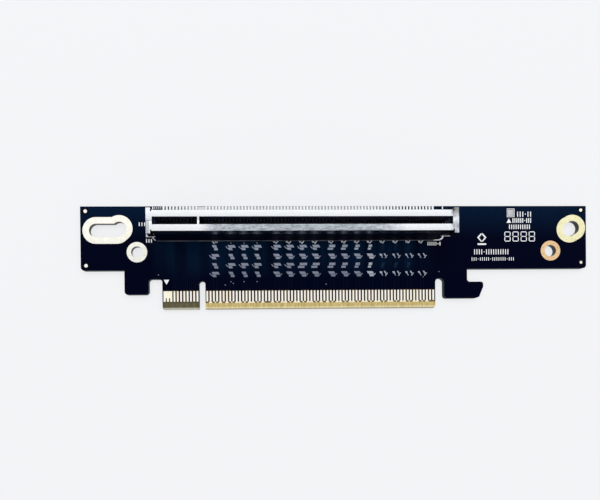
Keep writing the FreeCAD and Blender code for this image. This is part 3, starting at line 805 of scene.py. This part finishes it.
def shell_material():
    """Rolled steel: a bright far strip, a near strip with a painted reflection, clouded ears, drawn sides
    with painted shade and feet with painted shadow.
    """
    material, tree, shader = new_material("rolled_steel", (0.74, 0.745, 0.76), SHELL_ROUGHNESS, 1.0)
    x, y, z = split_coords(tree, "Object")
    _, _, facing = split_coords(tree, "Normal")
    along = mapped(tree, x, place_x(-2.0), place_x(LAST_PLACE + 2.0))
    lines = noise(tree, (620.0, 2300.0, 2300.0), 4.0, 0.68)
    fine = noise(tree, (420.0, 3600.0, 3600.0), 3.0)
    far_strip = ramp(tree, fine, [(0.3, (0.50, 0.515, 0.53)), (0.65, (0.545, 0.56, 0.575))])
    # Painted reflection: the near strip is lighter towards both ends and greyer in the middle.
    painted_sheen_tone = ramp(
        tree, along,
        [
            (0.0, (0.88, 0.90, 0.91)),
            (0.17, (0.92, 0.93, 0.95)),
            (0.21, (0.63, 0.67, 0.71)),
            (0.42, (0.60, 0.65, 0.69)),
            (0.66, (0.56, 0.61, 0.66)),
            (0.76, (0.68, 0.72, 0.77)),
            (0.83, (0.93, 0.96, 0.98)),
            (1.0, (0.90, 0.93, 0.95)),
        ],
    )
    streak = ramp(tree, lines, [(0.34, (0.42, 0.43, 0.44)), (0.64, (1.0, 1.0, 1.0))])
    dull = ramp(
        tree, along,
        [(0.16, (0.06,) * 3), (0.22, (1.0,) * 3), (0.76, (1.0,) * 3), (0.84, (0.12,) * 3)],
    )
    near_strip = blend(tree, dull, painted_sheen_tone, blend(tree, 1.0, painted_sheen_tone, streak, "MULTIPLY"))
    is_far = above(tree, y, depth_y(SLOT_MIDDLE_DEPTH), 0.4 * MM)
    color = blend(tree, is_far, near_strip, far_strip)
    smudge = noise(tree, (700.0, 420.0, 420.0), 3.0)
    left_end = shell_low.x + FOOT_REACH + LEFT_EAR
    left_ear = mapped(tree, x, left_end - 0.1 * MM, left_end + 0.1 * MM, 1.0, 0.0)
    cloud = ramp(tree, smudge, [(0.35, (0.43, 0.45, 0.48)), (0.6, (0.54, 0.57, 0.59))])
    color = blend(tree, left_ear, color, cloud)
    right_ear = above(tree, x, shell_high.x - FOOT_REACH - RIGHT_EAR, 0.8 * MM)
    stain = ramp(tree, smudge, [(0.35, (0.30, 0.31, 0.34)), (0.6, (0.80, 0.82, 0.86))])
    # The right ear is darker on its near half.
    right_ear_dark_half = ramp(tree, smudge, [(0.35, (0.07, 0.072, 0.075)), (0.62, (0.26, 0.27, 0.275))])
    stain = blend(tree, above(tree, y, depth_y(RIGHT_EAR_DARK_DEPTH), RIGHT_EAR_DARK_FADE), stain, right_ear_dark_half)
    color = blend(tree, right_ear, color, stain)
    # Painted shade: the folded sides are painted darker than the top.
    on_top = above(tree, facing, 0.9, 0.12)
    drawn = noise(tree, (90.0, 2400.0, 5200.0), 4.0, 0.65)
    side = ramp(tree, drawn, [(0.3, (0.15, 0.153, 0.162)), (0.68, (0.33, 0.335, 0.35))])
    color = blend(tree, on_top, side, color)
    # Painted shadow: the feet are painted near black, all but the tip of the left foot.
    foot_top = front_z + FOOT_HEIGHT
    foot_shade = mapped(tree, z, foot_top - 0.1 * MM, foot_top + 0.1 * MM, 1.0, 0.0)
    color = blend(tree, foot_shade, color, (0.012, 0.012, 0.016))
    tip_end = place_x(SHINY_FOOT_PLACE)
    left_tip = mapped(tree, x, tip_end - 0.075 * MM, tip_end + 0.075 * MM, 1.0, 0.0)
    color = blend(tree, calc(tree, "MULTIPLY", foot_shade, left_tip), color, (0.6, 0.6, 0.68))
    tree.links.new(color, shader.inputs["Base Color"])
    side_rough = mapped(tree, drawn, 0.3, 0.7, 0.30, 0.18)
    side_rough = calc(tree, "MULTIPLY", side_rough, mapped(tree, on_top, 0.0, 1.0, 1.0, 0.0))
    top_rough = mapped(tree, on_top, 0.0, 1.0, 0.0, SHELL_ROUGHNESS)
    rough = calc(tree, "ADD", side_rough, top_rough)
    tree.links.new(rough, shader.inputs["Roughness"])
    add_bump(tree, shader, lines, 0.0015 * MM, 0.5)
    return material


finish_node("slot_shell", shell_material())

# ---- Contacts ------------------------------------------------------------------------------------
# Stamped phosphor-bronze strips, gold flashed at the sprung end and tinned at the tail, pushed
# into the housing from below and soldered to the lands.
TIN_HEIGHT = 1.4 * MM


def contact_material():
    """Tin at the tails, and gold above them inside the slot, darkened as painted shade."""
    material, tree, shader = new_material("gold_and_tin_strip", (0.8, 0.62, 0.3), 0.3, 1.0)
    _, _, z = split_coords(tree, "Object")
    high = above(tree, z, front_z + TIN_HEIGHT, 0.5 * MM)
    wave = noise(tree, even(1800.0), 2.0)
    tin = ramp(tree, wave, [(0.3, (0.78, 0.79, 0.81)), (0.7, (0.93, 0.935, 0.94))])
    # Painted shade: the gold inside the slot is painted nearly black.
    gold = ramp(tree, wave, [(0.3, (0.10, 0.075, 0.035)), (0.7, (0.15, 0.115, 0.055))])
    tree.links.new(blend(tree, high, tin, gold), shader.inputs["Base Color"])
    metal = mapped(tree, high, 0.0, 1.0, 0.35, 1.0)
    tree.links.new(metal, shader.inputs["Metallic"])
    return material


contact_finish = contact_material()
for row_name in ("upper", "lower"):
    for side_name in ("short", "long"):
        finish_node(f"{row_name}_contacts_{side_name}_side", contact_finish)

# ---- Solder --------------------------------------------------------------------------------------
# Lands of tinned copper, etched with the tracks, carry the tails of the upper row and the shell's
# feet. The solder paste melted in the oven and was drawn up round every tail in a low mound.
KEY_PLACES = (11, 12)
contact_places = [place for place in range(int(LAST_PLACE) + 1) if place not in KEY_PLACES]
SOLDER_RISE = 0.11 * MM
SOLDER_HALF = 0.3
SOLDER_DEPTHS = (0.09, 1.5)
SOLDER_DRAW_IN = 0.09
MOUND_STEPS = [(0.0, 0.0), (0.6, 0.35), (0.9, 0.7), (1.0, 1.0)]


def mound_mesh(name, boxes, rise, draw_in):
    """Low mounds: each a rectangle of places and depths whose top is drawn in on every side."""
    points = []
    faces = []
    for left, right, top, bottom, base in boxes:
        start = len(points)
        for level, inset in MOUND_STEPS:
            shift = inset * draw_in
            z = base + level * rise
            points += [
                (place_x(left + shift), depth_y(bottom - shift), z),
                (place_x(right - shift), depth_y(bottom - shift), z),
                (place_x(right - shift), depth_y(top + shift), z),
                (place_x(left + shift), depth_y(top + shift), z),
            ]
        for ring in range(len(MOUND_STEPS) - 1):
            for i in range(4):
                low = start + ring * 4 + i
                low_next = start + ring * 4 + (i + 1) % 4
                faces.append([low, low_next, low_next + 4, low + 4])
        faces.append([len(points) - 4 + i for i in range(4)])
        faces.append([start + 3 - i for i in range(4)])
    mesh = bpy.data.meshes.new(name)
    mesh.from_pydata(points, [], faces)
    mesh.update()
    mesh.shade_smooth()
    return mesh


solder_finish = mottled(
    "reflowed_solder", even(2400.0), (0.66, 0.665, 0.69), (0.9, 0.905, 0.92), 0.3, 0.4, relief=0.01,
)
for name in sorted(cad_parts):
    if name.endswith("_land") or "_lands_" in name:
        finish_node(name, solder_finish)
land_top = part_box("upper_lands_long_side")[1].z
tail_mounds = [
    (place - SOLDER_HALF, place + SOLDER_HALF, *SOLDER_DEPTHS, land_top) for place in contact_places
]
tail_mesh = mound_mesh("tail_solder", tail_mounds, SOLDER_RISE, SOLDER_DRAW_IN)
add_piece("tail_solder", tail_mesh, solder_finish)

# ---- Edge fingers --------------------------------------------------------------------------------
# Copper fingers electroplated with hard gold over nickel, polished, and flush with the mask. The
# stubs of the plating lines spread below the ground fingers and between the pairs.
STUB_RISE = 0.01 * MM
STUB_SINK = 0.05 * MM
FINGER_END = (board_high.y - finger_low.y) / MM
FINGER_HALF = 0.27
BRIGHT_HALF = 0.262


def finger_material(name, separate_fingers):
    """Polished gold; separate fingers differ a little in tone and are darker along their sides."""
    material, tree, shader = new_material(name, (1.0, 0.94, 0.8), 0.3, 0.15, 0.8)
    x, y, _ = split_coords(tree, "Object")
    scratch = noise(tree, (5200.0, 260.0, 900.0))
    color = ramp(tree, scratch, [(0.25, (1.0, 0.94, 0.66)), (0.6, (1.0, 0.97, 0.80))])
    if separate_fingers:
        color = ramp(tree, scratch, [(0.25, (1.0, 0.93, 0.78)), (0.6, (1.0, 0.985, 0.93))])
        number = calc(tree, "DIVIDE", calc(tree, "SUBTRACT", x, contact_1_x), PITCH)
        shifted = calc(tree, "ADD", number, 0.5)
        tint = step_noise(tree, calc(tree, "FLOOR", shifted))
        tones = [(0.0, (1.0, 0.90, 0.84)), (0.35, (1.0, 1.0, 1.0)), (0.65, (1.0, 1.0, 1.0))]
        tones.append((1.0, (0.93, 0.96, 0.82)))
        color = blend(tree, 0.8, color, ramp(tree, tint, tones), "MULTIPLY")
        off = calc(tree, "ABSOLUTE", calc(tree, "SUBTRACT", calc(tree, "FRACT", shifted), 0.5))
        side = above(tree, off, BRIGHT_HALF, 0.04)
        color = blend(tree, side, color, (0.055, 0.032, 0.012))
    tree.links.new(color, shader.inputs["Base Color"])
    add_bump(tree, shader, scratch, 0.004 * MM, 0.4)
    return material


def plating_stubs():
    """Stubs of the plating lines, spread under the ground fingers and slim between the pairs."""
    stubs = []
    top = FINGER_END - 0.02
    for pair in PAIR_PLACES:
        for ground in (pair - 1, pair + 2):
            stubs.append([
                (ground - FINGER_HALF, top),
                (ground + FINGER_HALF, top),
                (ground + 0.56, top + 0.34),
                (ground + 0.5, top + 0.52),
                (ground - 0.5, top + 0.52),
                (ground - 0.56, top + 0.34),
            ])
        stubs.append(bar(pair + 0.2, pair + 0.45, top + 0.02, top + 0.5, 0.12, 0.2))
        stubs.append(bar(pair + 0.62, pair + 0.78, top + 0.02, top + 0.45, -0.1, -0.1))
    return stubs


finger_finish = finger_material("hard_gold_finger", True)
for name in sorted(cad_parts):
    if "fingers" in name:
        finish_node(name, finger_finish)
plain_finger = finger_material("hard_gold_bar", False)
finish_node("front_power_finger", plain_finger)
stub_finish = pale_gold("gold_plating_stubs", (1.0, 0.93, 0.70))
flat_piece("plating_stubs", plating_stubs(), STUB_RISE, stub_finish, front_z - STUB_SINK)

# ---- Plated holes --------------------------------------------------------------------------------
# Mounting holes drilled and plated through, with wide rings on both faces, finished in thin pale
# gold over nickel. The bores are darkened as painted shade. Small vias stitch each ring to the
# copper planes.
RING_TONES = {
    "left_keyhole_plating": (0.92, 0.895, 0.79),
    "left_hole_plating": (0.92, 0.905, 0.82),
    "right_big_hole_plating": (0.86, 0.82, 0.50),
    "right_hole_plating": (0.82, 0.55, 0.29),
}
RING_METALLIC = 0.45
BORE_TOP = 0.06 * MM
VIA_INSET = 0.62
LONG_RING_VIAS = 4
LONG_RING_STEP = 2.6
LONG_RING_VIA_RADIUS = 0.13
ROUND_RING_VIAS = 8
ROUND_RING_VIA_RADIUS = 0.12
RING_VIA_RISE = 0.003 * MM


def ring_material(name, tone):
    """Cloudy pale gold on the ring's face, and the bore darkened as painted shade."""
    material, tree, shader = new_material("pale_gold_" + name, tone, 0.36, RING_METALLIC)
    _, _, z = split_coords(tree, "Object")
    patch = noise(tree, even(700.0), 3.0)
    darker = tuple(channel * 0.88 for channel in tone)
    face = ramp(tree, patch, [(0.3, darker), (0.65, tone)])
    # Painted shade: the plated bore is painted nearly black.
    shaded_bore = ramp(tree, patch, [(0.3, (0.003, 0.003, 0.004)), (0.7, (0.014, 0.013, 0.014))])
    in_bore = mapped(tree, z, front_z - BORE_TOP, front_z - BORE_TOP + SHARP, 1.0, 0.0)
    tree.links.new(blend(tree, in_bore, face, shaded_bore), shader.inputs["Base Color"])
    tree.links.new(mapped(tree, in_bore, 0.0, 1.0, RING_METALLIC, 0.0), shader.inputs["Metallic"])
    add_bump(tree, shader, patch, 0.004 * MM, 0.4)
    return material


def stitching_vias():
    """Small holes in two rows along the long ring, and in a circle round each of the others."""
    spots = []
    for low, high in ring_boxes.values():
        middle = ((low.x + high.x) / 2 - contact_1_x) / MM
        depth = (board_high.y - (low.y + high.y) / 2) / MM
        radius = (high.y - low.y) / 2 / MM - VIA_INSET
        run = max((high.x - low.x) / 2 / MM - radius - VIA_INSET, 0.0)
        if run > 1.0:
            for i in range(LONG_RING_VIAS):
                place = middle + LONG_RING_STEP * (i - (LONG_RING_VIAS - 1) / 2)
                for row_depth in (depth - radius + 0.25, depth + radius + 0.05):
                    spots.append(disc(place, row_depth, LONG_RING_VIA_RADIUS, 10))
            continue
        for i in range(ROUND_RING_VIAS):
            turn = 2 * math.pi * (i + 0.5) / ROUND_RING_VIAS
            place = middle + (run + radius) * math.cos(turn)
            spots.append(disc(place, depth + radius * math.sin(turn), ROUND_RING_VIA_RADIUS, 10))
    return spots


def stitching_material():
    """Mouths of the small vias: paler in the left rings than in the right ones."""
    material, tree, shader = new_material("stitching_via_mouths", (0.52, 0.46, 0.34), 0.4, 0.4)
    x, _, _ = split_coords(tree, "Object")
    patch = noise(tree, even(900.0), 2.0)
    pale = ramp(tree, patch, [(0.3, (0.44, 0.38, 0.28)), (0.7, (0.60, 0.54, 0.42))])
    deep = ramp(tree, patch, [(0.3, (0.16, 0.12, 0.07)), (0.7, (0.34, 0.28, 0.17))])
    tree.links.new(blend(tree, above(tree, x, 0.0, 0.01), pale, deep), shader.inputs["Base Color"])
    return material


ring_boxes = {name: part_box(name) for name in RING_TONES}
for name, tone in RING_TONES.items():
    finish_node(name, ring_material(name, tone))
ring_top = ring_boxes["left_hole_plating"][1].z
via_hole = stitching_material()
flat_piece("ring_vias", stitching_vias(), RING_VIA_RISE, via_hole, ring_top)

# ---- Floor, light and camera ---------------------------------------------------------------------
# The card lies on a pale table. A broad soft lamp hangs beyond its top edge and faces straight
# down, so the steel and the gold mirror its near side, and a pale room fills the shadows.
FLOOR_HALF = 2.0
FLOOR_DROP = 0.02 * MM
FLOOR_COLOR = (0.9, 0.908, 0.925)
GLOW_SHARE = 0.8
ROOM_COLOR = (0.97, 0.98, 1.0)
ROOM_STRENGTH = 0.78
LAMP_HEIGHT = 0.7
LAMP_NEAR_EDGE = 0.228
LAMP_DEPTH = 0.66
LAMP_WIDTH = 1.8
LAMP_POWER = 4.6
FRAME_WIDTH = 600
FRAME_HEIGHT = 500
SENSOR_WIDTH = 36.0
FOCAL_LENGTH = 420.654
AXIS_ACROSS = 264.309
AXIS_DOWN = 355.021
CAMERA_PLACE = (-26.466, -29.219, 130.921)
CAMERA_TURN = (-0.2993, -1.572, -0.602)


def floor_material():
    """Pale surface that shows its own colour to the camera and in reflections, and keeps shadows."""
    material, tree, shader = new_material("pale_table", FLOOR_COLOR, 0.9, 0.0, 0.0)
    glow = tree.nodes.new("ShaderNodeEmission")
    glow.inputs["Color"].default_value = (*FLOOR_COLOR, 1.0)
    path = tree.nodes.new("ShaderNodeLightPath")
    seen = calc(tree, "MAXIMUM", path.outputs["Is Camera Ray"], path.outputs["Is Glossy Ray"])
    seen = calc(tree, "MAXIMUM", seen, path.outputs["Is Transmission Ray"])
    mixer = tree.nodes.new("ShaderNodeMixShader")
    tree.links.new(calc(tree, "MULTIPLY", seen, GLOW_SHARE), mixer.inputs["Fac"])
    tree.links.new(shader.outputs["BSDF"], mixer.inputs[1])
    tree.links.new(glow.outputs["Emission"], mixer.inputs[2])
    tree.links.new(mixer.outputs["Shader"], tree.nodes["Material Output"].inputs["Surface"])
    return material


floor_mesh = bpy.data.meshes.new("floor")
floor_corners = [(-1, -1), (1, -1), (1, 1), (-1, 1)]
floor_points = [(x * FLOOR_HALF, y * FLOOR_HALF, 0.0) for x, y in floor_corners]
floor_mesh.from_pydata(floor_points, [], [(0, 1, 2, 3)])
floor_mesh.materials.append(floor_material())
floor = bpy.data.objects.new("floor", floor_mesh)
floor.location.z = board_low.z - FLOOR_DROP
bpy.context.scene.collection.objects.link(floor)

world = bpy.data.worlds.new("room")
bpy.context.scene.world = world
world.use_nodes = True
background = world.node_tree.nodes["Background"]
background.inputs["Color"].default_value = (*ROOM_COLOR, 1.0)
background.inputs["Strength"].default_value = ROOM_STRENGTH

lamp_data = bpy.data.lights.new("top_edge_lamp", "AREA")
lamp_data.shape = "RECTANGLE"
lamp_data.size = LAMP_WIDTH
lamp_data.size_y = LAMP_DEPTH
lamp_data.energy = LAMP_POWER
lamp = bpy.data.objects.new("top_edge_lamp", lamp_data)
lamp.location = (0.0, LAMP_NEAR_EDGE + LAMP_DEPTH / 2, LAMP_HEIGHT)
bpy.context.scene.collection.objects.link(lamp)

camera_data = bpy.data.cameras.new("camera")
camera = bpy.data.objects.new("camera", camera_data)
bpy.context.scene.collection.objects.link(camera)
bpy.context.scene.camera = camera
camera.location = [distance * MM for distance in CAMERA_PLACE]
camera.rotation_euler = [math.radians(turn) for turn in CAMERA_TURN]
camera_data.sensor_width = SENSOR_WIDTH
camera_data.lens = SENSOR_WIDTH * FOCAL_LENGTH / FRAME_WIDTH
camera_data.shift_x = (FRAME_WIDTH / 2 - AXIS_ACROSS) / FRAME_WIDTH
camera_data.shift_y = (AXIS_DOWN - FRAME_HEIGHT / 2) / FRAME_WIDTH
camera_data.clip_start = 0.005

bpy.context.scene.view_settings.view_transform = "Standard"
